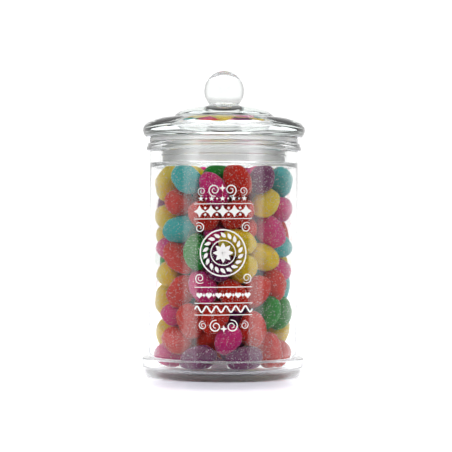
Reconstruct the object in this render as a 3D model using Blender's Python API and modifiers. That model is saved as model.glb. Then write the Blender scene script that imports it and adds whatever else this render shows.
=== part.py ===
# A lidded glass jar filled with sugared jelly sweets.
# Metres, +Z up. The origin is the middle of the ring the jar stands on, and its front faces -Y.
import math

import bmesh
import bpy
import numpy as np

millimetre = 0.001

# Jar
bodyRadius = 49.0 * millimetre
wallThickness = 2.6 * millimetre
floorTop = 4.8 * millimetre
floorCorner = 4.0 * millimetre
mouthRadius = 41.7 * millimetre
shoulderStart = 137.8 * millimetre
ledgeHeight = 141.0 * millimetre
lipTop = 154.4 * millimetre
lipRounding = 1.2 * millimetre
beadUpper = {"radius": 48.8 * millimetre, "height": 152.75 * millimetre, "size": 1.65 * millimetre}
beadLower = {"radius": 49.3 * millimetre, "height": 150.5 * millimetre, "size": 1.9 * millimetre}
footRadius = 53.5 * millimetre
footTop = 13.0 * millimetre
footFillet = (0.6 * millimetre, 0.8 * millimetre)
footRounding = 1.2 * millimetre
footUndercut = 6.5 * millimetre
standRadius = 48.4 * millimetre
standWidth = 3.9 * millimetre
recessHeight = 2.4 * millimetre

# Lid
rimRadius = 53.7 * millimetre
rimHeight = 163.0 * millimetre
rimRise = 8.0 * millimetre
rimCrown = 36.0 * millimetre
rimUnder = 157.5 * millimetre
rimUnderRadius = 49.5 * millimetre
domeCentre = (14.0 * millimetre, 168.5 * millimetre)
domeSize = (20.5 * millimetre, 9.8 * millimetre)
bossRadius = 16.5 * millimetre
bossTop = 178.4 * millimetre
neckRadius = 10.2 * millimetre
neckFlare = 1.8 * millimetre
knobRadius = 13.2 * millimetre
knobHeight = 188.8 * millimetre
plugRadius = 38.6 * millimetre
plugWall = 4.0 * millimetre
plugBottom = 141.6 * millimetre
plugRounding = 0.8 * millimetre
hollowTop = 168.2 * millimetre
hollowFlat = 31.0 * millimetre
hollowShoulder = 158.0 * millimetre

# Seal ring: a flange between the lid and the jar's lip, and fins round the lid's plug
sealGap = 0.3 * millimetre
sealThickness = 1.6 * millimetre
sealBottom = 141.6 * millimetre
flangeRadius = 49.0 * millimetre
flangeTop = rimUnder - sealGap
flangeBottom = lipTop + sealGap
finReach = 0.9 * millimetre
finHalfHeight = 0.6 * millimetre
finHeights = [152.2 * millimetre, 149.2 * millimetre, 145.7 * millimetre]

turnedSteps = 32
mergeDistance = 0.00001

# Sweets, in millimetres until the meshes are made
sweetCount = 142
sweetHalfLength = (11.7, 13.1)
sweetHalfThickness = (8.4, 9.2)
sweetSides = 8
sweetRings = 5
glassClearance = 0.6
fillTop = 140.0
coreRadius = 33.5
coreTop = 125.0
coreBottom = 8.0
shownDepth = 31.0
shownTop = 121.0
packSeed = 7
packSteps = 320

# Sweets that lie against the glass: degrees round from the front, height of the middle,
# lean of the long axis and how far it turns away from the glass
placedSweets = [
    (-76, 130, 80, 0), (-34, 131, -25, 0), (-3, 125, -12, 0), (10, 127, -52, 0),
    (36, 133, 90, 20), (82, 125, -75, 0), (41, 115, 80, 0), (-54, 112, -10, 30),
    (-98, 109, 80, 0), (-49, 98, -25, 0), (-96, 94, 10, 0), (-17, 106, -30, 0),
    (14, 107, 20, 0), (52, 95, -66, 0), (84, 111, -40, 0), (92, 94, 88, 0),
    (80, 82, 10, 60), (-24, 82, -50, 0), (-74, 84, 0, 70), (17, 88, -10, 0),
    (40, 80, -35, 30), (20, 72, 60, 60), (-64, 70, -15, 20), (-86, 50, 85, 0),
    (-46, 58, -60, 0), (-18, 59, -42, 0), (13, 58, -8, 0), (33, 59, 80, 30),
    (54, 64, -75, 0), (73, 75, -10, 70), (94, 61, 88, 0), (76, 42, -80, 0),
    (-56, 41, 0, 70), (-94, 27, 80, 0), (-46, 28, -12, 0), (-28, 38, 88, 0),
    (-9, 37, -75, 0), (4, 30, 35, 0), (29, 33, 88, 0), (59, 18, -80, 0),
    (92, 26, 88, 0), (82, 12, -10, 0), (-80, 12, 0, 60), (-25, 14, -4, 0),
    (17, 14, 4, 0),
]

colours = {
    "glass": (0.86, 0.92, 0.90, 1.0),
    "seal": (0.80, 0.82, 0.82, 1.0),
    "sweets": (0.62, 0.16, 0.12, 1.0),
}


# Materials and collections
def makeMaterial(name, colour, roughness, transmission):
    material = bpy.data.materials.new(name)
    material.use_nodes = True
    shader = material.node_tree.nodes["Principled BSDF"]
    shader.inputs["Base Color"].default_value = colour
    shader.inputs["Roughness"].default_value = roughness
    shader.inputs["Metallic"].default_value = 0.0
    shader.inputs["Transmission Weight"].default_value = transmission
    return material


def makeCollection(name):
    collection = bpy.data.collections.new(name)
    bpy.context.scene.collection.children.link(collection)
    return collection


# Profiles are (radius, height) points that run up the inner side and down the outer side
def arc(centre, radii, start, end, count):
    points = []
    for angle in np.radians(np.linspace(start, end, count)):
        points.append((centre[0] + radii[0] * math.cos(angle), centre[1] + radii[1] * math.sin(angle)))
    return points


def jarProfile():
    inner = bodyRadius - wallThickness
    points = [(0.0, floorTop)]
    points += arc((inner - floorCorner, floorTop + floorCorner), (floorCorner, floorCorner), -90, 0, 4)
    points += arc((mouthRadius, shoulderStart), (inner - mouthRadius, ledgeHeight - shoulderStart), 0, 90, 4)
    points += arc((mouthRadius + lipRounding, lipTop - lipRounding), (lipRounding, lipRounding), 180, 90, 3)
    points += beadArc(beadUpper, 90, -30, 4)
    points += beadArc(beadLower, 45, -80, 4)
    points.append((bodyRadius, beadLower["height"] - beadLower["size"] * 1.1))
    points += arc((bodyRadius + footFillet[0], footTop + footFillet[1]), footFillet, 180, 270, 3)
    points += arc((footRadius - footRounding, footTop - footRounding), (footRounding, footRounding), 90, 0, 3)
    points += arc((standRadius, footUndercut), (footRadius - standRadius, footUndercut), 0, -90, 4)
    points.append((standRadius - standWidth, 0.0))
    points.append((standRadius - 2 * standWidth, recessHeight * 0.7))
    points.append((0.0, recessHeight))
    return points


def beadArc(bead, start, end, count):
    return arc((bead["radius"], bead["height"]), (bead["size"], bead["size"]), start, end, count)


def lidProfile():
    cut = -math.degrees(math.acos(neckRadius / knobRadius))
    points = arc((0.0, knobHeight), (knobRadius, knobRadius), 90, cut, 9)
    points[0] = (0.0, knobHeight + knobRadius)
    points += arc((neckRadius + neckFlare, bossTop + neckFlare), (neckFlare, neckFlare), 180, 270, 3)
    points.append((bossRadius, bossTop))
    points += arc(domeCentre, domeSize, 80, 19, 4)
    points += arc((rimCrown, rimHeight), (rimRadius - rimCrown, rimRise), 90, 0, 6)
    under = (rimRadius - rimUnderRadius, rimHeight - rimUnder)
    points += arc((rimUnderRadius, rimHeight), under, -20, -90, 4)
    points.append((plugRadius, rimUnder))
    rounding = (plugRounding, plugRounding)
    points += arc((plugRadius - plugRounding, plugBottom + plugRounding), rounding, 0, -90, 2)
    inner = plugRadius - plugWall
    points.append((inner, plugBottom))
    points += arc((hollowFlat, hollowShoulder), (inner - hollowFlat, hollowTop - hollowShoulder), 0, 90, 5)
    points.append((0.0, hollowTop))
    return points


def sealProfile():
    inner = plugRadius + sealGap
    outer = inner + sealThickness
    points = [(inner, sealBottom), (inner, flangeTop), (flangeRadius, flangeTop), (flangeRadius, flangeBottom)]
    points.append((outer, flangeBottom))
    for height in finHeights:
        points.append((outer, height + finHalfHeight))
        points.append((outer + finReach, height))
        points.append((outer, height - finHalfHeight))
    points.append((outer, sealBottom))
    points.append(points[0])
    return points


# A turned piece is its profile with a Screw modifier
def turnedPiece(name, profile, material, collection):
    mesh = bpy.data.meshes.new(name)
    vertices = [(radius, 0.0, height) for radius, height in profile]
    edges = [(index, index + 1) for index in range(len(profile) - 1)]
    mesh.from_pydata(vertices, edges, [])
    piece = bpy.data.objects.new(name, mesh)
    piece.data.materials.append(material)
    collection.objects.link(piece)
    weld = piece.modifiers.new("Close", "WELD")
    weld.merge_threshold = mergeDistance
    screw = piece.modifiers.new("Turn", "SCREW")
    screw.steps = turnedSteps
    screw.render_steps = turnedSteps
    screw.use_merge_vertices = True
    screw.merge_threshold = mergeDistance
    screw.use_smooth_shade = True
    return piece


# Packing: each sweet is three overlapping balls that push one another and the glass apart
def longAxis(around, lean, turn):
    facing = math.radians(around)
    tilt = math.radians(lean)
    away = math.radians(turn)
    outward = np.array([math.sin(facing), -math.cos(facing), 0.0])
    sideways = np.array([math.cos(facing), math.sin(facing), 0.0])
    along = sideways * math.cos(tilt) + np.array([0.0, 0.0, 1.0]) * math.sin(tilt)
    return along * math.cos(away) + outward * math.sin(away)


def roomRadius(height):
    inner = (bodyRadius - wallThickness) / millimetre
    shoulder = shoulderStart / millimetre - 2.0
    return np.interp(height, [shoulder, fillTop], [inner, mouthRadius / millimetre])


def startPlaces(draw, halfLength, halfThickness):
    centres = np.zeros((sweetCount, 3))
    axes = np.zeros((sweetCount, 3))
    inner = (bodyRadius - wallThickness) / millimetre
    for index, (around, height, lean, turn) in enumerate(placedSweets):
        away = math.radians(turn)
        depth = halfThickness[index] * math.cos(away) ** 2 + halfLength[index] * math.sin(away) ** 2
        reach = inner - glassClearance - depth
        facing = math.radians(around)
        centres[index] = (reach * math.sin(facing), -reach * math.cos(facing), height)
        axes[index] = longAxis(around, lean, turn)
    margin = 8.0
    spacing = 11.5
    floor = floorTop / millimetre
    index = len(placedSweets)
    while index < sweetCount:
        place = draw.uniform([margin - inner, margin - inner, floor + margin],
                             [inner - margin, inner - margin, fillTop - margin])
        if math.hypot(place[0], place[1]) > inner - margin:
            continue
        nearest = np.linalg.norm(centres[:index] - place, axis=1).min()
        if nearest < spacing and draw.random() < 0.97:
            continue
        direction = draw.normal(size=3)
        centres[index] = place
        axes[index] = direction / np.linalg.norm(direction)
        index += 1
    return centres, axes


def packSweets():
    draw = np.random.default_rng(packSeed)
    halfLength = draw.uniform(*sweetHalfLength, sweetCount)
    halfThickness = draw.uniform(*sweetHalfThickness, sweetCount)
    centres, axes = startPlaces(draw, halfLength, halfThickness)
    placed = len(placedSweets)
    targetCentres = centres[:placed].copy()
    targetAxes = axes[:placed].copy()
    endOffset = (halfLength ** 2 - halfThickness ** 2) / halfLength
    endRadius = halfThickness ** 2 / halfLength
    owner = np.repeat(np.arange(sweetCount), 3)
    sameSweet = owner[:, None] == owner[None, :]
    floor = floorTop / millimetre
    for step in range(packSteps):
        growth = min(1.0, 0.7 + 0.6 * step / packSteps)
        offsets = np.stack([-endOffset, np.zeros(sweetCount), endOffset], 1) * growth
        balls = (centres[:, None, :] + axes[:, None, :] * offsets[:, :, None]).reshape(-1, 3)
        radii = (np.stack([endRadius, halfThickness, endRadius], 1) * growth).reshape(-1)
        between = balls[:, None, :] - balls[None, :, :]
        distance = np.sqrt((between ** 2).sum(2)) + 1e-9
        overlap = np.maximum(radii[:, None] + radii[None, :] - distance, 0.0)
        overlap[sameSweet] = 0.0
        balls = balls + (between / distance[:, :, None] * overlap[:, :, None]).sum(1) * 0.3
        reach = np.hypot(balls[:, 0], balls[:, 1])
        limit = roomRadius(balls[:, 2] + 0.5 * radii) - radii - glassClearance
        inward = np.where(reach > limit, limit / np.maximum(reach, 1e-9), 1.0)
        balls[:, :2] *= inward[:, None]
        balls[:, 2] = np.clip(balls[:, 2], floor + glassClearance + radii, fillTop - radii)
        balls = balls.reshape(sweetCount, 3, 3)
        centres = balls.mean(1)
        axes = balls[:, 2] - balls[:, 0]
        axes /= np.linalg.norm(axes, axis=1)[:, None]
        if step < packSteps * 0.9:
            centres[:placed] += 0.25 * (targetCentres - centres[:placed])
            axes[:placed] += 0.25 * (targetAxes - axes[:placed])
            axes[:placed] /= np.linalg.norm(axes[:placed], axis=1)[:, None]
    for index in range(sweetCount):
        centres[index] = pullInside(centres[index], axes[index], halfLength[index], halfThickness[index])
    return centres, axes, halfLength, halfThickness


# The three half axes of a sweet, as rows
def halfAxes(axis, halfLength, halfThickness):
    helper = np.array([0.0, 0.0, 1.0]) if abs(axis[2]) < 0.9 else np.array([1.0, 0.0, 0.0])
    first = np.cross(helper, axis)
    first /= np.linalg.norm(first)
    second = np.cross(axis, first)
    return np.stack([first * halfThickness, second * halfThickness, axis * halfLength])


# Directions spread evenly over a ball
def spreadDirections(count):
    steps = np.arange(count) + 0.5
    height = 1.0 - 2.0 * steps / count
    turn = math.pi * (1.0 + math.sqrt(5.0)) * steps
    radius = np.sqrt(1.0 - height ** 2)
    return np.stack([radius * np.cos(turn), radius * np.sin(turn), height], 1)


def pullInside(centre, axis, halfLength, halfThickness):
    surface = centre + spreadDirections(150) @ halfAxes(axis, halfLength, halfThickness)
    moved = centre.copy()
    reach = np.hypot(surface[:, 0], surface[:, 1])
    excess = reach - (roomRadius(surface[:, 2]) - glassClearance)
    worst = excess.argmax()
    if excess[worst] > 0.0:
        moved[:2] -= surface[worst, :2] / reach[worst] * excess[worst]
    moved[2] += max(floorTop / millimetre + glassClearance - surface[:, 2].min(), 0.0)
    moved[2] -= max(surface[:, 2].max() - fillTop, 0.0)
    return moved


def sweetBall(name, centre, axis, halfLength, halfThickness, collection):
    axes = halfAxes(axis, halfLength, halfThickness)
    ball = bmesh.new()
    bmesh.ops.create_uvsphere(ball, u_segments=sweetSides, v_segments=sweetRings, radius=1.0)
    for vertex in ball.verts:
        vertex.co = (centre + np.array(vertex.co) @ axes) * millimetre
    mesh = bpy.data.meshes.new(name)
    ball.to_mesh(mesh)
    ball.free()
    sweet = bpy.data.objects.new(name, mesh)
    collection.objects.link(sweet)
    return sweet


# The heap: a core with every sweet that can be seen fused on
def heapProfile():
    top = coreTop * millimetre
    bottom = coreBottom * millimetre
    radius = coreRadius * millimetre
    return [(0.0, top), (radius, top), (radius, (top + bottom) / 2), (radius, bottom), (0.0, bottom)]


def keepLargestShell(mesh):
    solid = bmesh.new()
    solid.from_mesh(mesh)
    remaining = set(solid.verts)
    shells = []
    while remaining:
        start = remaining.pop()
        shell = {start}
        front = [start]
        while front:
            vertex = front.pop()
            for edge in vertex.link_edges:
                other = edge.other_vert(vertex)
                if other not in shell:
                    shell.add(other)
                    front.append(other)
        remaining -= shell
        shells.append(shell)
    shells.sort(key=len, reverse=True)
    for shell in shells[1:]:
        bmesh.ops.delete(solid, geom=list(shell), context="VERTS")
    solid.to_mesh(mesh)
    solid.free()


def makeHeap(material, collection):
    core = turnedPiece("sweets", heapProfile(), material, collection)
    shown = makeCollection("shown sweets")
    centres, axes, halfLength, halfThickness = packSweets()
    for index in range(sweetCount):
        centre = centres[index]
        if math.hypot(centre[0], centre[1]) < shownDepth and centre[2] < shownTop:
            continue
        sweetBall(f"sweet {index}", centre, axes[index], halfLength[index], halfThickness[index], shown)
    union = core.modifiers.new("Fuse", "BOOLEAN")
    union.operation = "UNION"
    union.operand_type = "COLLECTION"
    union.collection = shown
    union.solver = "MANIFOLD"
    fused = bpy.data.meshes.new_from_object(core.evaluated_get(bpy.context.evaluated_depsgraph_get()))
    core.modifiers.clear()
    core.data = fused
    keepLargestShell(core.data)
    for sweet in list(shown.objects):
        bpy.data.objects.remove(sweet)
    bpy.data.collections.remove(shown)
    return core


def main():
    for thing in list(bpy.data.objects):
        bpy.data.objects.remove(thing)
    jar = makeCollection("candy jar")
    glass = makeMaterial("glass", colours["glass"], 0.03, 0.9)
    sealPlastic = makeMaterial("seal plastic", colours["seal"], 0.35, 0.3)
    jelly = makeMaterial("sugared jelly", colours["sweets"], 0.6, 0.0)
    turnedPiece("jar_glass", jarProfile(), glass, jar)
    turnedPiece("lid_glass", lidProfile(), glass, jar)
    turnedPiece("lid_seal", sealProfile(), sealPlastic, jar)
    makeHeap(jelly, jar)


main()
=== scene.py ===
# Glass candy jar with a ball-knob lid, full of sugared jelly sweets. Metres, Z up, the front faces -Y.
import math

import bpy
import numpy as np
from mathutils import Matrix, Vector


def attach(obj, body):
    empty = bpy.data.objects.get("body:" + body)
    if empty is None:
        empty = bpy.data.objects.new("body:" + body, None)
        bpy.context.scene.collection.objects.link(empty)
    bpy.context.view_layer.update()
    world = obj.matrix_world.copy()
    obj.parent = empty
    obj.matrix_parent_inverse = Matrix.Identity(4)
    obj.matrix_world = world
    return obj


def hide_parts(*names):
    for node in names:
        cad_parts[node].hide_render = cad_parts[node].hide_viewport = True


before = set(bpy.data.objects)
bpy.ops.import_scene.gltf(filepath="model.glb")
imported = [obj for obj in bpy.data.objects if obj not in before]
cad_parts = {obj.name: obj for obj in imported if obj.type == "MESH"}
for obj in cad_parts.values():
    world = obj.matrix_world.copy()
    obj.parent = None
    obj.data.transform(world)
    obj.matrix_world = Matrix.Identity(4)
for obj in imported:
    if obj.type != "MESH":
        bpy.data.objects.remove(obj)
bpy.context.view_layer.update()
mm = 0.001


# Small helpers
def selectOnly(thing):
    if bpy.context.object and bpy.context.object.mode == "EDIT":
        bpy.ops.object.mode_set(mode="OBJECT")
    bpy.ops.object.select_all(action="DESELECT")
    thing.select_set(True)
    bpy.context.view_layer.objects.active = thing


def hexColour(code):
    channels = [int(code[place:place + 2], 16) / 255 for place in (1, 3, 5)]
    linear = [value / 12.92 if value <= 0.04045 else ((value + 0.055) / 1.055) ** 2.4 for value in channels]
    return (*linear, 1.0)


def addNode(tree, kind, settings=None, values=None, links=None):
    node = tree.nodes.new(kind)
    for name, value in (settings or {}).items():
        setattr(node, name, value)
    for name, value in (values or {}).items():
        node.inputs[name].default_value = value
    for name, source in (links or {}).items():
        tree.links.new(source, node.inputs[name])
    return node


def blendColours(tree, factor, first, second):
    mix = addNode(tree, "ShaderNodeMix", {"data_type": "RGBA"}, links={"Factor": factor})
    mix.inputs[6].default_value = hexColour(first)
    mix.inputs[7].default_value = hexColour(second)
    return mix.outputs[2]


def startMaterial(name):
    material = bpy.data.materials.new(name)
    material.use_nodes = True
    tree = material.node_tree
    tree.nodes.clear()
    output = addNode(tree, "ShaderNodeOutputMaterial")
    return material, tree, output


def applyModifiers(piece):
    selectOnly(piece)
    for modifier in list(piece.modifiers):
        bpy.ops.object.modifier_apply(modifier=modifier.name)


def dress(piece, material, node):
    piece.data.materials.clear()
    piece.data.materials.append(material)
    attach(piece, "root")
    if node:
        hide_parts(node)


# Camera: level with the middle of the jar, far off with a long lens
photographView = {
    "distance": 1.20,
    "height": 0.0994,
    "sideways": 0.0017,
    "roll": -0.30,  # degrees: the jar leans a hair to the right in the frame
    "frameWidth": 0.2995,  # what the frame spans at the jar's axis
    "sensor": 36.0,
}


def addCamera():
    view = photographView
    place = (view["sideways"], -view["distance"], view["height"])
    roll = math.radians(view["roll"])
    bpy.ops.object.camera_add(location=place, rotation=(math.pi / 2, roll, 0.0))
    camera = bpy.context.object
    camera.name = "photographCamera"
    camera.data.sensor_width = view["sensor"]
    camera.data.lens = view["sensor"] * view["distance"] / view["frameWidth"]
    camera.data.clip_start = 0.01
    bpy.context.scene.camera = camera


# Studio: a white backdrop, two tall strip boxes beside the camera, and a dimmer side behind it
studio = {
    "backdrop": 1.15,
    "strip": 1.8,
    "stripFrom": 41.0,  # degrees round from the camera
    "stripTo": 65.0,
    "stripSoftness": 2.5,
    "side": 0.42,
    "sideTo": 105.0,
    "backdropFrom": 135.0,
    "cameraSide": 0.06,
    "overhead": 5.0,
    "overheadHeights": (0.64, 0.70, 0.90, 0.96),  # of the direction, 1 straight up
    "overheadFront": (0.10, 0.25),
    "sky": 0.8,  # the upper half beside and behind the jar
    "skyHeights": (0.25, 0.45),
    "skyFront": (0.3, -0.1),
    "floorWidth": 0.5,
    "floorLength": 4.0,
    "floorFront": 0.16,  # how far the board reaches in front of the jar's axis
    # The board's painted light: it glows, less and less towards a point in front of the jar, which paints a
    # soft shadow there
    "glow": 0.75,
    "paintedShadowCentre": -0.055,  # where the painted glow is weakest: the middle of a painted shadow in front of the jar
    "glowFrom": 0.02,  # metres from there
    "glowTo": 0.10,
}


def greyLevel(value):
    return (value, value, value, 1.0)


# A soft-edged region of the studio with its own level: each fade runs from none to full along a direction
def lightWithin(tree, colour, level, fades):
    share = None
    for source, start, full in fades:
        edges = {"From Min": min(start, full), "From Max": max(start, full)}
        if start > full:
            edges.update({"To Min": 1.0, "To Max": 0.0})
        fade = addNode(tree, "ShaderNodeMapRange", {"interpolation_type": "SMOOTHSTEP"}, edges,
                       {"Value": source}).outputs[0]
        if share:
            fade = addNode(tree, "ShaderNodeMath", {"operation": "MULTIPLY"},
                           links={0: share, 1: fade}).outputs[0]
        share = fade
    mix = addNode(tree, "ShaderNodeMix", {"data_type": "RGBA"}, links={"Factor": share, 6: colour})
    mix.inputs[7].default_value = greyLevel(level)
    return mix.outputs[2]


def lightStudio():
    world = bpy.data.worlds.new("soft studio")
    bpy.context.scene.world = world
    world.use_nodes = True
    tree = world.node_tree
    tree.nodes.clear()
    direction = addNode(tree, "ShaderNodeTexCoord")
    split = addNode(tree, "ShaderNodeSeparateXYZ", links={"Vector": direction.outputs["Generated"]})
    across = addNode(tree, "ShaderNodeMath", {"operation": "ABSOLUTE"}, links={0: split.outputs["X"]})
    towards = addNode(tree, "ShaderNodeMath", {"operation": "MULTIPLY"}, {1: -1.0}, {0: split.outputs["Y"]})
    around = addNode(tree, "ShaderNodeMath", {"operation": "ARCTAN2"},
                     links={0: across.outputs[0], 1: towards.outputs[0]})
    share = addNode(tree, "ShaderNodeMath", {"operation": "DIVIDE"}, {1: math.pi}, {0: around.outputs[0]})
    ramp = addNode(tree, "ShaderNodeValToRGB", links={"Fac": share.outputs[0]})
    soft = studio["stripSoftness"]
    stops = [
        (0.0, studio["cameraSide"]),
        (studio["stripFrom"] - soft, studio["cameraSide"]),
        (studio["stripFrom"] + soft, studio["strip"]),
        (studio["stripTo"] - soft, studio["strip"]),
        (studio["stripTo"] + soft, studio["side"]),
        (studio["sideTo"], studio["side"]),
        (studio["backdropFrom"], studio["backdrop"]),
        (180.0, studio["backdrop"]),
    ]
    elements = ramp.color_ramp.elements
    for place, (degrees, level) in enumerate(stops):
        element = elements[place] if place < 2 else elements.new(degrees / 180.0)
        element.position = degrees / 180.0
        element.color = greyLevel(level)
    height = split.outputs["Z"]
    low, lowFull, highFull, high = studio["overheadHeights"]
    sky = lightWithin(tree, ramp.outputs["Color"], studio["sky"],
                      [(height, *studio["skyHeights"]), (towards.outputs[0], *studio["skyFront"])])
    box = lightWithin(tree, sky, studio["overhead"],
                      [(height, low, lowFull), (height, high, highFull),
                       (towards.outputs[0], *studio["overheadFront"])])
    lit = addNode(tree, "ShaderNodeBackground", links={"Color": box})
    plain = addNode(tree, "ShaderNodeBackground", values={"Color": greyLevel(studio["backdrop"])})
    rays = addNode(tree, "ShaderNodeLightPath")
    chosen = addNode(tree, "ShaderNodeMixShader", links={0: rays.outputs["Is Camera Ray"]})
    tree.links.new(lit.outputs[0], chosen.inputs[1])
    tree.links.new(plain.outputs[0], chosen.inputs[2])
    addNode(tree, "ShaderNodeOutputWorld", links={"Surface": chosen.outputs[0]})
    bpy.context.scene.view_settings.view_transform = "Standard"


def floorMaterial():
    # White lacquered board, matt; a painted glow (emission) makes it as white as the backdrop, weakest just
    # in front of the jar, where it leaves a painted shadow
    material, tree, output = startMaterial("white board with painted glow")
    place = addNode(tree, "ShaderNodeTexCoord").outputs["Object"]
    centre = (0.0, studio["paintedShadowCentre"], 0.0)
    reach = addNode(tree, "ShaderNodeVectorMath", {"operation": "DISTANCE"}, {1: centre}, {0: place})
    # Painted light: the glow grows with the distance from the point in front of the jar, so a painted shadow
    # lies around it
    glow = addNode(tree, "ShaderNodeMapRange", {"interpolation_type": "SMOOTHSTEP"},
                   {"From Min": studio["glowFrom"], "From Max": studio["glowTo"], "To Max": studio["glow"]},
                   {"Value": reach.outputs["Value"]})
    shader = addNode(tree, "ShaderNodeBsdfPrincipled",
                     values={"Base Color": hexColour("#d0d0da"), "Roughness": 0.3,
                             "Emission Color": hexColour("#ffffff")},
                     links={"Emission Strength": glow.outputs[0]})
    tree.links.new(shader.outputs[0], output.inputs["Surface"])
    return material


def addFloor():
    back = studio["floorLength"] / 2 - studio["floorFront"]
    bpy.ops.mesh.primitive_plane_add(size=1.0, location=(0.0, back, 0.0))
    floor = bpy.context.object
    floor.scale = (studio["floorWidth"], studio["floorLength"], 1.0)
    bpy.ops.object.transform_apply(location=True, rotation=True, scale=True)
    floor.name = "studioFloor"
    floor.data.materials.append(floorMaterial())


# Turned glass: an outline is drawn point by point beside the axis, then spun round it
turning = {"segments": 192, "arcStep": 7.0, "joinDistance": 0.002 * mm, "creaseAngle": math.radians(32)}


def arc(centre, radii, start, end):
    count = max(3, int(abs(end - start) / turning["arcStep"]) + 1)
    points = []
    for angle in np.radians(np.linspace(start, end, count)):
        points.append((centre[0] + radii[0] * math.cos(angle), centre[1] + radii[1] * math.sin(angle)))
    return points


def spinOutline(name, outline):
    corners = [Vector((radius * mm, 0.0, height * mm)) for radius, height in outline]
    bpy.ops.object.select_all(action="DESELECT")
    bpy.ops.mesh.primitive_plane_add(size=mm, location=corners[0])
    piece = bpy.context.object
    piece.name = name
    bpy.ops.object.transform_apply(location=True, rotation=True, scale=True)
    bpy.ops.object.mode_set(mode="EDIT")
    bpy.ops.mesh.select_all(action="SELECT")
    bpy.ops.mesh.merge(type="CENTER")
    for corner, following in zip(corners, corners[1:]):
        bpy.ops.mesh.extrude_region_move(TRANSFORM_OT_translate={"value": following - corner})
    bpy.ops.mesh.select_all(action="SELECT")
    bpy.ops.mesh.spin(steps=turning["segments"], angle=2 * math.pi, center=(0, 0, 0), axis=(0, 0, 1))
    bpy.ops.mesh.select_all(action="SELECT")
    bpy.ops.mesh.remove_doubles(threshold=turning["joinDistance"])
    bpy.ops.mesh.normals_make_consistent(inside=False)
    bpy.ops.object.mode_set(mode="OBJECT")
    bpy.ops.object.shade_smooth_by_angle(angle=turning["creaseAngle"])
    return piece


# The jar, in millimetres
jar = {
    "body": 49.0,
    "inner": 46.4,
    "floor": 4.8,
    "floorCorner": 4.0,
    "mouth": 41.7,
    "shoulder": 137.8,
    "ledge": 141.0,
    "lip": 154.4,
    "lipRounding": 1.2,
    "beads": [(48.8, 152.75, 1.65, 90, -30), (49.3, 150.5, 1.9, 45, -80)],  # radius, height, size and arc
    "beadFoot": 1.1,  # how far below the last bead the wall starts, in bead sizes
    "foot": 53.5,
    "footTop": 13.0,
    "footFillet": (0.6, 0.8),
    "footRounding": 1.2,
    "footUndercut": 6.5,
    "stand": 48.4,
    "standWidth": 3.9,
    "recess": 2.4,
    "recessEdge": 0.7,  # how much of the recess's height its edge has
    "stippleRoughness": 0.45,
}


def jarOutline():
    inner = jar["inner"]
    corner = jar["floorCorner"]
    points = [(0.0, jar["floor"])]
    points += arc((inner - corner, jar["floor"] + corner), (corner, corner), -90, 0)
    shoulder = (inner - jar["mouth"], jar["ledge"] - jar["shoulder"])
    points += arc((jar["mouth"], jar["shoulder"]), shoulder, 0, 90)
    lip = jar["lipRounding"]
    points += arc((jar["mouth"] + lip, jar["lip"] - lip), (lip, lip), 180, 90)
    for radius, height, size, start, end in jar["beads"]:
        points += arc((radius, height), (size, size), start, end)
    points.append((jar["body"], height - size * jar["beadFoot"]))
    rounding = jar["footRounding"]
    fillet = jar["footFillet"]
    points += arc((jar["body"] + fillet[0], jar["footTop"] + fillet[1]), fillet, 180, 270)
    points += arc((jar["foot"] - rounding, jar["footTop"] - rounding), (rounding, rounding), 90, 0)
    undercut = (jar["foot"] - jar["stand"], jar["footUndercut"])
    points += arc((jar["stand"], jar["footUndercut"]), undercut, 0, -90)
    points.append((jar["stand"] - jar["standWidth"], 0.0))
    points.append((jar["stand"] - 2 * jar["standWidth"], jar["recess"] * jar["recessEdge"]))
    points.append((0.0, jar["recess"]))
    return points


# The lid, in millimetres
lid = {
    "rim": 53.7,
    "rimHeight": 163.0,
    "rimRise": 8.0,
    "rimCrown": 36.0,
    "under": 157.5,
    "underRadius": 49.5,
    "domeCentre": (14.0, 168.5),
    "domeSize": (20.5, 9.8),
    "domeArc": (80, 19),
    "domeFoot": (1.2, 0.1),  # inward from the rim's crown, and above it
    "boss": 16.5,
    "bossTop": 178.4,
    "bossFall": 0.2,
    "neck": 10.2,
    "neckFlare": 1.8,
    "knob": 13.2,
    "knobHeight": 188.8,
    "plug": 38.6,
    "plugWall": 4.0,
    "plugBottom": 141.6,
    "plugRounding": 0.8,
    "hollowTop": 168.2,
    "hollowFlat": 31.0,
    "hollowShoulder": 158.0,
}


def lidOutline():
    cut = -math.degrees(math.acos(lid["neck"] / lid["knob"]))
    points = arc((0.0, lid["knobHeight"]), (lid["knob"], lid["knob"]), 90, cut)
    points[0] = (0.0, lid["knobHeight"] + lid["knob"])
    flare = lid["neckFlare"]
    points += arc((lid["neck"] + flare, lid["bossTop"] + flare), (flare, flare), 180, 270)
    points.append((lid["boss"], lid["bossTop"] - lid["bossFall"]))
    points += arc(lid["domeCentre"], lid["domeSize"], *lid["domeArc"])
    inward, above = lid["domeFoot"]
    points.append((lid["rimCrown"] - inward, lid["rimHeight"] + lid["rimRise"] + above))
    points += arc((lid["rimCrown"], lid["rimHeight"]), (lid["rim"] - lid["rimCrown"], lid["rimRise"]), 90, 0)
    lower = (lid["rim"] - lid["underRadius"], lid["rimHeight"] - lid["under"])
    points += arc((lid["underRadius"], lid["rimHeight"]), lower, -7, -90)
    points.append((lid["plug"], lid["under"]))
    rounding = lid["plugRounding"]
    points += arc((lid["plug"] - rounding, lid["plugBottom"] + rounding), (rounding, rounding), 0, -90)
    inner = lid["plug"] - lid["plugWall"]
    points.append((inner, lid["plugBottom"]))
    hollow = (inner - lid["hollowFlat"], lid["hollowTop"] - lid["hollowShoulder"])
    points += arc((lid["hollowFlat"], lid["hollowShoulder"]), hollow, 0, 90)
    points.append((0.0, lid["hollowTop"]))
    return points


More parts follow.
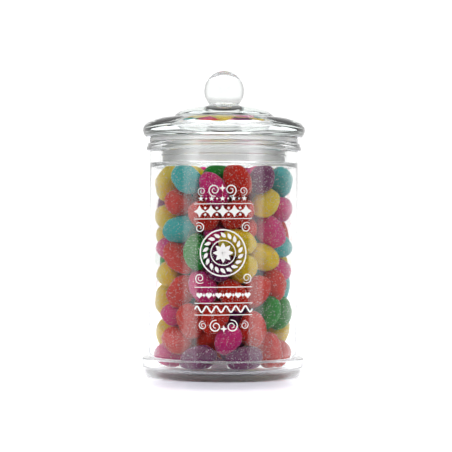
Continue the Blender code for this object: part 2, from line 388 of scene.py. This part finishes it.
def glassMaterial():
    # Pressed soda-lime glass, fire polished: clear, mirror smooth and faintly green through its thickness.
    # The mould leaves the underside of the floor stippled.
    material, tree, output = startMaterial("pressed soda-lime glass")
    place = addNode(tree, "ShaderNodeTexCoord").outputs["Object"]
    split = addNode(tree, "ShaderNodeSeparateXYZ", links={"Vector": place})
    flat = addNode(tree, "ShaderNodeCombineXYZ", links={"X": split.outputs["X"], "Y": split.outputs["Y"]})
    reach = addNode(tree, "ShaderNodeVectorMath", {"operation": "LENGTH"}, links={0: flat.outputs[0]})
    within = addNode(tree, "ShaderNodeMath", {"operation": "LESS_THAN"},
                     {1: (jar["stand"] - jar["standWidth"]) * mm}, {0: reach.outputs["Value"]})
    below = addNode(tree, "ShaderNodeMath", {"operation": "LESS_THAN"},
                    {1: (jar["recess"] + 0.1) * mm}, {0: split.outputs["Z"]})
    stipple = addNode(tree, "ShaderNodeMath", {"operation": "MULTIPLY"},
                      links={0: within.outputs[0], 1: below.outputs[0]})
    roughness = addNode(tree, "ShaderNodeMath", {"operation": "MULTIPLY"}, {1: jar["stippleRoughness"]},
                        {0: stipple.outputs[0]})
    shader = addNode(tree, "ShaderNodeBsdfPrincipled",
                     values={"Base Color": hexColour("#ffffff"), "IOR": 1.52, "Transmission Weight": 1.0},
                     links={"Roughness": roughness.outputs[0]})
    tree.links.new(shader.outputs[0], output.inputs["Surface"])
    depth = addNode(tree, "ShaderNodeVolumeAbsorption",
                    values={"Color": hexColour("#e4efe9"), "Density": 11.0})
    tree.links.new(depth.outputs[0], output.inputs["Volume"])
    return material


# The seal ring, in millimetres
seal = {
    "inner": 38.9,
    "thickness": 1.6,
    "bottom": 141.6,
    "flange": 49.0,
    "flangeTop": 157.2,
    "flangeBottom": 154.7,
    "flangeRounding": 0.4,
    "finReach": 0.9,
    "finHalf": 0.6,
    "finTip": 0.15,
    "finHeights": (152.2, 149.2, 145.7),
}


def sealOutline():
    outer = seal["inner"] + seal["thickness"]
    edge = seal["flangeRounding"]
    points = [(seal["inner"], seal["bottom"]), (seal["inner"], seal["flangeTop"])]
    points += arc((seal["flange"] - edge, seal["flangeTop"] - edge), (edge, edge), 90, 0)
    points += arc((seal["flange"] - edge, seal["flangeBottom"] + edge), (edge, edge), 0, -90)
    points.append((outer, seal["flangeBottom"]))
    for height in seal["finHeights"]:
        points.append((outer, height + seal["finHalf"]))
        points.append((outer + seal["finReach"], height + seal["finTip"]))
        points.append((outer + seal["finReach"], height - seal["finTip"]))
        points.append((outer, height - seal["finHalf"]))
    points.append((outer, seal["bottom"]))
    points.append(points[0])
    return points


def sealMaterial():
    # Low-density polyethylene, injection moulded: milky, soft and a little see-through
    material, tree, output = startMaterial("moulded polyethylene")
    shader = addNode(tree, "ShaderNodeBsdfPrincipled",
                     values={"Base Color": hexColour("#ffffff"), "Roughness": 0.45, "IOR": 1.2,
                             "Transmission Weight": 0.95})
    tree.links.new(shader.outputs[0], output.inputs["Surface"])
    return material


def makeGlass():
    glass = glassMaterial()
    jarPiece = spinOutline("jarGlass", jarOutline())
    dress(jarPiece, glass, "jar_glass")
    lidPiece = spinOutline("lidGlass", lidOutline())
    dress(lidPiece, glass, "lid_glass")
    sealPiece = spinOutline("sealRing", sealOutline())
    dress(sealPiece, sealMaterial(), "lid_seal")
    print("glass and seal turned")


# The sweets, in millimetres: each is three overlapping balls that push the others and keep off the glass
heap = {
    "count": 142,
    "halfLength": (11.7, 13.1),
    "halfThickness": (8.4, 9.2),
    "clearance": 0.6,
    "top": 140.0,
    "shoulder": 135.8,
    "seed": 7,
    "margin": 8.0,  # the least way from the glass to the middle of a sweet at the start
    "spacing": 11.5,
    "refusal": 0.97,  # how often a start closer than the spacing is drawn again
    "steps": 320,
    "growth": (0.7, 0.6),  # a ball's share of its size at the start, and what is added over the steps
    "push": 0.3,
    "pull": 0.25,  # how strongly a placed sweet goes back to its place
    "pullUntil": 0.9,
    "probes": 150,
    "shownDepth": 31.0,
    "shownTop": 121.0,
}

# Sweets against the glass: degrees round from the front, height of the middle,
# lean of the long axis, how far it turns away from the glass, and colour
placedSweets = [
    (-76, 130, 80, 0, "yellow"), (-34, 131, -25, 0, "teal"), (-3, 125, -12, 0, "pink"),
    (10, 127, -52, 0, "red"), (36, 133, 90, 20, "purple"), (82, 125, -75, 0, "teal"),
    (41, 115, 80, 0, "yellow"), (-54, 112, -10, 30, "red"), (-98, 109, 80, 0, "purple"),
    (-49, 98, -25, 0, "teal"), (-96, 94, 10, 0, "yellow"), (-17, 106, -30, 0, "red"),
    (14, 107, 20, 0, "red"), (52, 95, -66, 0, "pink"), (84, 111, -40, 0, "pink"),
    (92, 94, 88, 0, "red"), (80, 82, 10, 60, "teal"), (-24, 82, -50, 0, "green"),
    (-74, 84, 0, 70, "pink"), (17, 88, -10, 0, "yellow"), (40, 80, -35, 30, "yellow"),
    (20, 72, 60, 60, "yellow"), (-64, 70, -15, 20, "yellow"), (-86, 50, 85, 0, "yellow"),
    (-46, 58, -60, 0, "red"), (-18, 59, -42, 0, "pink"), (13, 58, -8, 0, "red"),
    (33, 59, 80, 30, "red"), (54, 64, -75, 0, "red"), (73, 75, -10, 70, "pink"),
    (94, 61, 88, 0, "teal"), (76, 42, -80, 0, "green"), (-56, 41, 0, 70, "pink"),
    (-94, 27, 80, 0, "yellow"), (-46, 28, -12, 0, "red"), (-28, 38, 88, 0, "red"),
    (-9, 37, -75, 0, "red"), (4, 30, 35, 0, "pink"), (29, 33, 88, 0, "red"),
    (59, 18, -80, 0, "red"), (92, 26, 88, 0, "yellow"), (82, 12, -10, 0, "red"),
    (-80, 12, 0, 60, "pink"), (-25, 14, -4, 0, "purple"), (17, 14, 4, 0, "purple"),
]
otherColours = ["yellow", "red", "pink", "red", "teal", "green", "purple", "pink", "red", "yellow"]

# Sweets further in that show through gaps at the front, by their number in the heap
gapColours = {59: "purple", 64: "red", 70: "red", 122: "red", 125: "purple"}


def longAxis(around, lean, turn):
    facing = math.radians(around)
    tilt = math.radians(lean)
    away = math.radians(turn)
    outward = np.array([math.sin(facing), -math.cos(facing), 0.0])
    sideways = np.array([math.cos(facing), math.sin(facing), 0.0])
    along = sideways * math.cos(tilt) + np.array([0.0, 0.0, 1.0]) * math.sin(tilt)
    return along * math.cos(away) + outward * math.sin(away)


def roomRadius(height):
    return np.interp(height, [heap["shoulder"], heap["top"]], [jar["inner"], jar["mouth"]])


def startPlaces(draw, halfLength, halfThickness):
    count = heap["count"]
    centres = np.zeros((count, 3))
    axes = np.zeros((count, 3))
    inner = jar["inner"]
    for index, (around, height, lean, turn, colour) in enumerate(placedSweets):
        away = math.radians(turn)
        depth = halfThickness[index] * math.cos(away) ** 2 + halfLength[index] * math.sin(away) ** 2
        reach = inner - heap["clearance"] - depth
        facing = math.radians(around)
        centres[index] = (reach * math.sin(facing), -reach * math.cos(facing), height)
        axes[index] = longAxis(around, lean, turn)
    margin = heap["margin"]
    index = len(placedSweets)
    while index < count:
        place = draw.uniform([margin - inner, margin - inner, jar["floor"] + margin],
                             [inner - margin, inner - margin, heap["top"] - margin])
        if math.hypot(place[0], place[1]) > inner - margin:
            continue
        nearest = np.linalg.norm(centres[:index] - place, axis=1).min()
        if nearest < heap["spacing"] and draw.random() < heap["refusal"]:
            continue
        direction = draw.normal(size=3)
        centres[index] = place
        axes[index] = direction / np.linalg.norm(direction)
        index += 1
    return centres, axes


def halfAxes(axis, halfLength, halfThickness):
    helper = np.array([0.0, 0.0, 1.0]) if abs(axis[2]) < 0.9 else np.array([1.0, 0.0, 0.0])
    first = np.cross(helper, axis)
    first /= np.linalg.norm(first)
    second = np.cross(axis, first)
    return np.stack([first * halfThickness, second * halfThickness, axis * halfLength])


def spreadDirections(count):
    steps = np.arange(count) + 0.5
    height = 1.0 - 2.0 * steps / count
    turn = math.pi * (1.0 + math.sqrt(5.0)) * steps
    radius = np.sqrt(1.0 - height ** 2)
    return np.stack([radius * np.cos(turn), radius * np.sin(turn), height], 1)


def pullInside(centre, axis, halfLength, halfThickness):
    surface = centre + spreadDirections(heap["probes"]) @ halfAxes(axis, halfLength, halfThickness)
    moved = centre.copy()
    reach = np.hypot(surface[:, 0], surface[:, 1])
    excess = reach - (roomRadius(surface[:, 2]) - heap["clearance"])
    worst = excess.argmax()
    if excess[worst] > 0.0:
        moved[:2] -= surface[worst, :2] / reach[worst] * excess[worst]
    moved[2] += max(jar["floor"] + heap["clearance"] - surface[:, 2].min(), 0.0)
    moved[2] -= max(surface[:, 2].max() - heap["top"], 0.0)
    return moved


def packSweets():
    draw = np.random.default_rng(heap["seed"])
    count = heap["count"]
    halfLength = draw.uniform(*heap["halfLength"], count)
    halfThickness = draw.uniform(*heap["halfThickness"], count)
    centres, axes = startPlaces(draw, halfLength, halfThickness)
    placed = len(placedSweets)
    targetCentres = centres[:placed].copy()
    targetAxes = axes[:placed].copy()
    endOffset = (halfLength ** 2 - halfThickness ** 2) / halfLength
    endRadius = halfThickness ** 2 / halfLength
    owner = np.repeat(np.arange(count), 3)
    sameSweet = owner[:, None] == owner[None, :]
    small, gain = heap["growth"]
    for step in range(heap["steps"]):
        growth = min(1.0, small + gain * step / heap["steps"])
        offsets = np.stack([-endOffset, np.zeros(count), endOffset], 1) * growth
        balls = (centres[:, None, :] + axes[:, None, :] * offsets[:, :, None]).reshape(-1, 3)
        radii = (np.stack([endRadius, halfThickness, endRadius], 1) * growth).reshape(-1)
        between = balls[:, None, :] - balls[None, :, :]
        distance = np.sqrt((between ** 2).sum(2)) + 1e-9
        overlap = np.maximum(radii[:, None] + radii[None, :] - distance, 0.0)
        overlap[sameSweet] = 0.0
        balls = balls + (between / distance[:, :, None] * overlap[:, :, None]).sum(1) * heap["push"]
        reach = np.hypot(balls[:, 0], balls[:, 1])
        limit = roomRadius(balls[:, 2] + 0.5 * radii) - radii - heap["clearance"]
        inward = np.where(reach > limit, limit / np.maximum(reach, 1e-9), 1.0)
        balls[:, :2] *= inward[:, None]
        balls[:, 2] = np.clip(balls[:, 2], jar["floor"] + heap["clearance"] + radii, heap["top"] - radii)
        balls = balls.reshape(count, 3, 3)
        centres = balls.mean(1)
        axes = balls[:, 2] - balls[:, 0]
        axes /= np.linalg.norm(axes, axis=1)[:, None]
        if step < heap["steps"] * heap["pullUntil"]:
            centres[:placed] += heap["pull"] * (targetCentres - centres[:placed])
            axes[:placed] += heap["pull"] * (targetAxes - axes[:placed])
            axes[:placed] /= np.linalg.norm(axes[:placed], axis=1)[:, None]
    for index in range(count):
        centres[index] = pullInside(centres[index], axes[index], halfLength[index], halfThickness[index])
    return centres, axes, halfLength, halfThickness


# Jelly: the sweet's own colour, the pale dusting of sugar on it (which also paints the glints), and how far
# red, green and blue soak in
jellyColours = {
    "red": ("#dc260c", "#fbd0c6", (1.0, 0.25, 0.15)),
    "pink": ("#e02a84", "#fbd0e6", (1.0, 0.25, 0.45)),
    "yellow": ("#f2d21a", "#fdf8dc", (1.0, 0.80, 0.20)),
    "teal": ("#20bcba", "#d8f4f2", (0.20, 0.80, 0.80)),
    "green": ("#109626", "#ccf0d0", (0.20, 0.90, 0.25)),
    "purple": ("#74085a", "#b878a8", (0.80, 0.18, 0.55)),
}

jelly = {
    "cloud": 7.0,  # size of the soft changes of colour, in millimetres
    "grain": 0.5,  # size of a sugar grain
    "grainHeight": 0.14,
    "dusting": (0.02, 0.22),
    "paintedGlint": 0.6,  # size of a sugar grain painted pale as a glint: a painted highlight
    "sparkleShare": 0.14,
    "inside": 0.85,  # how much of the light comes out of the sweet
    "soak": 7.0,  # how deep light goes, in millimetres
    "lumps": {"size": 8.0 * mm, "strength": 1.5 * mm},
    "crust": {"size": 0.9 * mm, "strength": 0.40 * mm},
    "evenLevel": 0.7,  # the height in the noise that stays where it is
    "outerDetail": 5,
    "innerDetail": 3,
}


def jellyMaterial(name, colours):
    # Fruit jelly rolled in sugar: soft, half clear inside, with a matt crust whose glitter is painted: pale
    # grains stand in for grains that catch the light
    material, tree, output = startMaterial(f"sugared {name} jelly")
    base, dusting, soak = colours
    place = addNode(tree, "ShaderNodeTexCoord").outputs["Object"]
    cloud = addNode(tree, "ShaderNodeTexNoise", values={"Scale": 1.0 / (jelly["cloud"] * mm), "Detail": 3.0},
                    links={"Vector": place})
    grain = addNode(tree, "ShaderNodeTexVoronoi", values={"Scale": 1.0 / (jelly["grain"] * mm)},
                    links={"Vector": place})
    grainLight = addNode(tree, "ShaderNodeMapRange",
                         values={"From Min": 0.10, "From Max": 0.55, "To Min": 1.0, "To Max": 0.0},
                         links={"Value": grain.outputs["Distance"]})
    low, high = jelly["dusting"]
    patch = addNode(tree, "ShaderNodeMapRange",
                    values={"From Min": 0.35, "From Max": 0.65, "To Min": low, "To Max": high},
                    links={"Value": cloud.outputs["Fac"]})
    dust = addNode(tree, "ShaderNodeMath", {"operation": "MULTIPLY"},
                   links={0: grainLight.outputs[0], 1: patch.outputs[0]})
    # Painted glints: a share of the grains is painted in the pale sugar colour, standing in for grains that
    # catch the light
    glintCells = addNode(tree, "ShaderNodeTexVoronoi", values={"Scale": 1.0 / (jelly["paintedGlint"] * mm)},
                      links={"Vector": place})
    chance = addNode(tree, "ShaderNodeSeparateColor", links={"Color": glintCells.outputs["Color"]})
    chosen = addNode(tree, "ShaderNodeMath", {"operation": "LESS_THAN"}, {1: jelly["sparkleShare"]},
                     {0: chance.outputs["Red"]})
    spot = addNode(tree, "ShaderNodeMapRange",
                   values={"From Min": 0.20, "From Max": 0.45, "To Min": 1.0, "To Max": 0.0},
                   links={"Value": glintCells.outputs["Distance"]})
    paintedGlint = addNode(tree, "ShaderNodeMath", {"operation": "MULTIPLY"},
                      links={0: chosen.outputs[0], 1: spot.outputs[0]})
    # The pale mark is the real sugar dusting together with the painted glints
    sugar = addNode(tree, "ShaderNodeMath", {"operation": "MAXIMUM"},
                    links={0: dust.outputs[0], 1: paintedGlint.outputs[0]})
    colour = blendColours(tree, sugar.outputs[0], base, dusting)
    bump = addNode(tree, "ShaderNodeBump", values={"Strength": 0.8, "Distance": jelly["grainHeight"] * mm},
                   links={"Height": grainLight.outputs[0]})
    # The painted glints get no subsurface light, so they stay pale as painted highlights
    inside = addNode(tree, "ShaderNodeMapRange", values={"To Min": jelly["inside"], "To Max": 0.0},
                     links={"Value": paintedGlint.outputs[0]})
    shader = addNode(tree, "ShaderNodeBsdfPrincipled",
                     values={"Roughness": 0.5, "IOR": 1.42, "Subsurface Radius": soak,
                             "Subsurface Scale": jelly["soak"] * mm, "Specular IOR Level": 0.2,
                             "Sheen Weight": 0.1, "Sheen Roughness": 0.35},
                     links={"Base Color": colour, "Subsurface Weight": inside.outputs[0],
                            "Normal": bump.outputs[0]})
    tree.links.new(shader.outputs[0], output.inputs["Surface"])
    return material


def patternBall(detail):
    bpy.ops.object.select_all(action="DESELECT")
    bpy.ops.mesh.primitive_ico_sphere_add(subdivisions=detail, radius=1.0)
    bpy.ops.object.shade_smooth()
    return bpy.context.object


def copyPiece(pattern, matrix):
    copied = pattern.copy()
    copied.data = pattern.data.copy()
    copied.data.transform(matrix)
    bpy.context.scene.collection.objects.link(copied)
    return copied


def joinPieces(name, pieces):
    bpy.ops.object.select_all(action="DESELECT")
    for piece in pieces:
        piece.select_set(True)
    bpy.context.view_layer.objects.active = pieces[0]
    bpy.ops.object.join()
    pieces[0].name = name
    return pieces[0]


def roughen(piece, name, shape):
    texture = bpy.data.textures.new(name, "CLOUDS")
    texture.noise_scale = shape["size"]
    texture.noise_depth = 1
    displace = piece.modifiers.new(name, "DISPLACE")
    displace.texture = texture
    displace.texture_coords = "GLOBAL"
    displace.strength = shape["strength"]
    displace.mid_level = jelly["evenLevel"]


# Sugar crystals that stand proud of the sweets and catch the light, on the side towards the glass
sugar = {
    "size": 0.25 * mm,  # half of the longest side
    "proportions": (1.0, 0.8, 0.65),
    "smallest": 0.5,
    "perSquareMetre": 240000.0,
    "from": 0.036,  # metres from the jar's axis
    "seed": 3,
}


def crystalPattern():
    bpy.ops.object.select_all(action="DESELECT")
    bpy.ops.mesh.primitive_cube_add(size=2.0 * sugar["size"])
    crystal = bpy.context.object
    crystal.scale = sugar["proportions"]
    bpy.ops.object.transform_apply(location=True, rotation=True, scale=True)
    return crystal


def scatterTree(crystal):
    tree = bpy.data.node_groups.new("scatter crystals", "GeometryNodeTree")
    tree.interface.new_socket("Geometry", in_out="INPUT", socket_type="NodeSocketGeometry")
    tree.interface.new_socket("Geometry", in_out="OUTPUT", socket_type="NodeSocketGeometry")
    start = addNode(tree, "NodeGroupInput")
    place = addNode(tree, "GeometryNodeInputPosition")
    flat = addNode(tree, "ShaderNodeVectorMath", {"operation": "MULTIPLY"}, {1: (1.0, 1.0, 0.0)},
                   {0: place.outputs[0]})
    reach = addNode(tree, "ShaderNodeVectorMath", {"operation": "LENGTH"}, links={0: flat.outputs[0]})
    outside = addNode(tree, "ShaderNodeMath", {"operation": "GREATER_THAN"}, {1: sugar["from"]},
                      {0: reach.outputs["Value"]})
    points = addNode(tree, "GeometryNodeDistributePointsOnFaces",
                     values={"Density": sugar["perSquareMetre"], "Seed": sugar["seed"]},
                     links={"Mesh": start.outputs[0], "Selection": outside.outputs[0]})
    turn = addNode(tree, "FunctionNodeRandomValue", {"data_type": "FLOAT_VECTOR"})
    turn.inputs[1].default_value = (math.tau, math.tau, math.tau)
    size = addNode(tree, "FunctionNodeRandomValue", {"data_type": "FLOAT"}, {"Seed": 1})
    size.inputs[2].default_value = sugar["smallest"]
    size.inputs[3].default_value = 1.0
    pattern = addNode(tree, "GeometryNodeObjectInfo", values={"Object": crystal})
    placed = addNode(tree, "GeometryNodeInstanceOnPoints",
                     links={"Points": points.outputs["Points"], "Instance": pattern.outputs["Geometry"],
                            "Rotation": turn.outputs[0], "Scale": size.outputs[1]})
    real = addNode(tree, "GeometryNodeRealizeInstances", links={"Geometry": placed.outputs[0]})
    end = addNode(tree, "NodeGroupOutput")
    tree.links.new(real.outputs[0], end.inputs[0])
    return tree


def crystalMaterial():
    # Granulated sugar: clear hard grains that look white in a heap
    material, tree, output = startMaterial("granulated sugar")
    place = addNode(tree, "ShaderNodeTexCoord").outputs["Object"]
    change = addNode(tree, "ShaderNodeTexNoise", values={"Scale": 900.0}, links={"Vector": place})
    colour = blendColours(tree, change.outputs["Fac"], "#ffffff", "#f4efee")
    shader = addNode(tree, "ShaderNodeBsdfPrincipled", values={"Roughness": 0.2, "IOR": 1.54},
                     links={"Base Color": colour})
    tree.links.new(shader.outputs[0], output.inputs["Surface"])
    return material


def scatterSugar(sweets):
    crystal = crystalPattern()
    tree = scatterTree(crystal)
    dustings = []
    for piece in sweets:
        dusting = copyPiece(piece, Matrix.Identity(4))
        scatter = dusting.modifiers.new("scatter", "NODES")
        scatter.node_group = tree
        applyModifiers(dusting)
        dustings.append(dusting)
    bpy.data.objects.remove(crystal)
    grains = joinPieces("sugarGrains", dustings)
    dress(grains, crystalMaterial(), "sweets")
    print("sugar scattered:", len(grains.data.polygons), "faces")


def makeSweets():
    centres, axes, halfLength, halfThickness = packSweets()
    outer = patternBall(jelly["outerDetail"])
    inner = patternBall(jelly["innerDetail"])
    byColour = {colour: [] for colour in jellyColours}
    for index, centre in enumerate(centres):
        hidden = math.hypot(centre[0], centre[1]) < heap["shownDepth"] and centre[2] < heap["shownTop"]
        shape = halfAxes(axes[index], halfLength[index], halfThickness[index]) * mm
        matrix = Matrix(shape.T.tolist()).to_4x4()
        matrix.translation = Vector(centre * mm)
        if index < len(placedSweets):
            colour = placedSweets[index][4]
        else:
            colour = gapColours.get(index, otherColours[index % len(otherColours)])
        byColour[colour].append(copyPiece(inner if hidden else outer, matrix))
    bpy.data.objects.remove(outer)
    bpy.data.objects.remove(inner)
    pieces = []
    for colour, sweets in byColour.items():
        piece = joinPieces(f"sweets{colour.capitalize()}", sweets)
        roughen(piece, "lumps", jelly["lumps"])
        roughen(piece, "crust", jelly["crust"])
        applyModifiers(piece)
        dress(piece, jellyMaterial(colour, jellyColours[colour]), "sweets")
        pieces.append(piece)
        print(colour, "sweets made:", len(piece.data.polygons), "faces")
    scatterSugar(pieces)


# White ornament fired on the front, in millimetres: across from the middle, and up
ornament = {
    "radius": 49.07,
    "thickness": 0.12,
    "lean": 0.8,  # degrees
    "middle": 78.0,
    "halfWidth": 18.8,
    "cutEvery": 2.0,
    "curveStep": 12.0,  # degrees
    "cloud": 3.0,  # size of the soft changes of white
}


def circlePoints(radius):
    angles = np.radians(np.arange(0.0, 360.0, ornament["curveStep"]))
    return [(radius * math.cos(angle), radius * math.sin(angle)) for angle in angles]


def starPoints(points, outer, inner):
    corners = []
    for corner in range(2 * points):
        angle = math.pi * (0.5 + corner / points)
        radius = inner if corner % 2 else outer
        corners.append((radius * math.cos(angle), radius * math.sin(angle)))
    return corners


def leafPoints(length, width):
    steps = np.linspace(0.0, 1.0, 9)
    upper = [(length * step, width / 2 * math.sin(math.pi * step ** 0.8)) for step in steps]
    lower = [(along, -across) for along, across in reversed(upper[1:-1])]
    return upper + lower


def heartPoints(size):
    corners = []
    for angle in np.radians(np.arange(0.0, 360.0, ornament["curveStep"])):
        across = 16 * math.sin(angle) ** 3
        up = 13 * math.cos(angle) - 5 * math.cos(2 * angle) - 2 * math.cos(3 * angle) - math.cos(4 * angle)
        corners.append((across * size / 32, up * size / 32))
    return corners


# A stroke of changing width along a line of points
def strokePoints(line, widths):
    line = np.array(line)
    along = np.gradient(line, axis=0)
    along /= np.linalg.norm(along, axis=1)[:, None]
    aside = np.stack([-along[:, 1], along[:, 0]], 1) * np.array(widths)[:, None] / 2
    return [tuple(point) for point in np.concatenate([line + aside, (line - aside)[::-1]])]


def spiralLine(outerRadius, innerRadius, startAngle, sweep):
    count = int(abs(sweep) / ornament["curveStep"]) + 1
    angles = np.radians(np.linspace(startAngle, startAngle + sweep, count))
    radii = np.linspace(outerRadius, innerRadius, count)
    return np.stack([radii * np.cos(angles), radii * np.sin(angles)], 1)


def flatPattern(outlines):
    curve = bpy.data.curves.new("enamelShape", "CURVE")
    curve.dimensions = "2D"
    curve.fill_mode = "BOTH"
    curve.extrude = ornament["thickness"] / 2
    for outline in outlines:
        spline = curve.splines.new("POLY")
        spline.points.add(len(outline) - 1)
        for point, (across, up) in zip(spline.points, outline):
            point.co = (across, up, 0.0, 1.0)
        spline.use_cyclic_u = True
    pattern = bpy.data.objects.new("enamelShape", curve)
    bpy.context.scene.collection.objects.link(pattern)
    selectOnly(pattern)
    bpy.ops.object.convert(target="MESH")
    return bpy.context.object


def placement(across, up, turn=0.0, mirrored=False, scale=1.0):
    flip = Matrix.Diagonal((-scale if mirrored else scale, scale, 1.0, 1.0))
    return Matrix.Translation((across, up, 0.0)) @ flip @ Matrix.Rotation(math.radians(turn), 4, "Z")


def bothSides(places):
    mirrored = [(-across, up, turn, not flipped, scale) for across, up, turn, flipped, scale in places]
    return places + mirrored


def spacedRow(width, count, up):
    return [(across, up) for across in np.linspace(-width / 2, width / 2, count)]


def stamp(outlines, places):
    pattern = flatPattern(outlines)
    copies = [copyPiece(pattern, placement(*place)) for place in places]
    bpy.data.objects.remove(pattern)
    return copies


def scrollPoints(size):
    line = spiralLine(size, size * 0.22, -100, 560)
    widths = np.interp(np.linspace(0, 1, len(line)), [0, 0.25, 1], [0.12, 0.20, 0.10]) * size
    return strokePoints(line, widths)


def enamelMaterial():
    # Screen-printed ceramic enamel, fired on: white, satin, a little uneven in thickness
    material, tree, output = startMaterial("white ceramic enamel")
    place = addNode(tree, "ShaderNodeTexCoord").outputs["Object"]
    scale = 1.0 / (ornament["cloud"] * mm)
    cloud = addNode(tree, "ShaderNodeTexNoise", values={"Scale": scale, "Detail": 4.0},
                    links={"Vector": place})
    colour = blendColours(tree, cloud.outputs["Fac"], "#f6f5f3", "#e6e4e1")
    shader = addNode(tree, "ShaderNodeBsdfPrincipled", values={"Roughness": 0.3},
                     links={"Base Color": colour})
    tree.links.new(shader.outputs[0], output.inputs["Surface"])
    return material


def wrapOrnament(piece):
    half = ornament["halfWidth"]
    selectOnly(piece)
    bpy.ops.object.mode_set(mode="EDIT")
    bpy.ops.mesh.select_all(action="SELECT")
    bpy.ops.mesh.remove_doubles(threshold=0.001)
    for cut in np.arange(-half, half + 0.01, ornament["cutEvery"]):
        bpy.ops.mesh.select_all(action="SELECT")
        bpy.ops.mesh.bisect(plane_co=(cut, 0.0, 0.0), plane_no=(1.0, 0.0, 0.0))
    bpy.ops.object.mode_set(mode="OBJECT")
    flat = np.empty(len(piece.data.vertices) * 3)
    piece.data.vertices.foreach_get("co", flat)
    across, up, depth = flat.reshape(-1, 3).T
    lean = math.radians(ornament["lean"])
    above = up - ornament["middle"]
    angle = (across * math.cos(lean) - above * math.sin(lean)) / ornament["radius"]
    height = across * math.sin(lean) + above * math.cos(lean) + ornament["middle"]
    radius = ornament["radius"] + depth + ornament["thickness"] / 2
    wrapped = np.stack([radius * np.sin(angle), -radius * np.cos(angle), height], 1) * mm
    piece.data.vertices.foreach_set("co", wrapped.reshape(-1))
    piece.data.update()
    selectOnly(piece)
    bpy.ops.object.mode_set(mode="EDIT")
    bpy.ops.mesh.select_all(action="SELECT")
    bpy.ops.mesh.normals_make_consistent(inside=False)
    bpy.ops.object.mode_set(mode="OBJECT")


def makeOrnament():
    half = ornament["halfWidth"]
    pieces = []
    rule = [(-half, -0.25), (half, -0.25), (half, 0.25), (-half, 0.25)]
    pieces += stamp([rule], [(0, 113.6), (0, 104.0), (0, 60.5), (0, 50.3), (0, 42.8)])
    pieces += stamp([starPoints(5, 1.9, 0.8)], spacedRow(28, 5, 116.9))
    pieces += stamp([circlePoints(0.55)], spacedRow(21, 4, 116.9))
    pieces += stamp([starPoints(4, 3.9, 2.0)], spacedRow(30, 5, 108.8))
    pieces += stamp([circlePoints(0.8)], spacedRow(22.5, 4, 110.9) + spacedRow(22.5, 4, 106.7))
    wreathHeight = 82.3
    pieces += stamp([circlePoints(15.2), circlePoints(14.3)], [(0, wreathHeight)])
    pieces += stamp([circlePoints(8.2), circlePoints(7.6)], [(0, wreathHeight)])
    leaves = []
    for angle in np.arange(0.0, 360.0, 20.0):
        facing = math.radians(angle)
        leaves.append((10.0 * math.cos(facing), wreathHeight + 10.0 * math.sin(facing), angle + 55))
    pieces += stamp([leafPoints(4.6, 2.3)], leaves)
    pieces += stamp([leafPoints(6.6, 3.2)], [(0, wreathHeight, turn) for turn in range(0, 360, 45)])
    corner = [scrollPoints(3.4)]
    pieces += stamp(corner, bothSides([(15.2, 98.4, 150, False, 1.0), (15.2, 66.2, -30, False, 1.0)]))
    pieces += stamp([heartPoints(4.2)], spacedRow(31.2, 6, 55.4))
    pieces += stamp([starPoints(4, 1.5, 0.6)], spacedRow(25, 5, 55.4))
    across = np.linspace(-half, half, 73)
    wave = np.stack([across, 1.9 * np.sin(across / half * 6 * math.pi)], 1)
    pieces += stamp([strokePoints(wave, np.full(73, 1.0))], [(0, 46.5)])
    crest = [scrollPoints(4.0)]
    pieces += stamp(crest, bothSides([(5.2, 122.3, 0, False, 1.0), (13.4, 121.6, 0, False, 0.7)]))
    pieces += stamp(crest, bothSides([(5.2, 35.6, 180, True, 1.0), (13.4, 36.2, 180, True, 0.7)]))
    pieces += stamp([starPoints(4, 2.4, 0.9)], [(0, 123.6), (0, 34.0)])
    piece = joinPieces("frontOrnament", pieces)
    wrapOrnament(piece)
    dress(piece, enamelMaterial(), None)
    print("ornament made:", len(piece.data.polygons), "faces")


addCamera()
lightStudio()
addFloor()
makeGlass()
makeSweets()
makeOrnament()
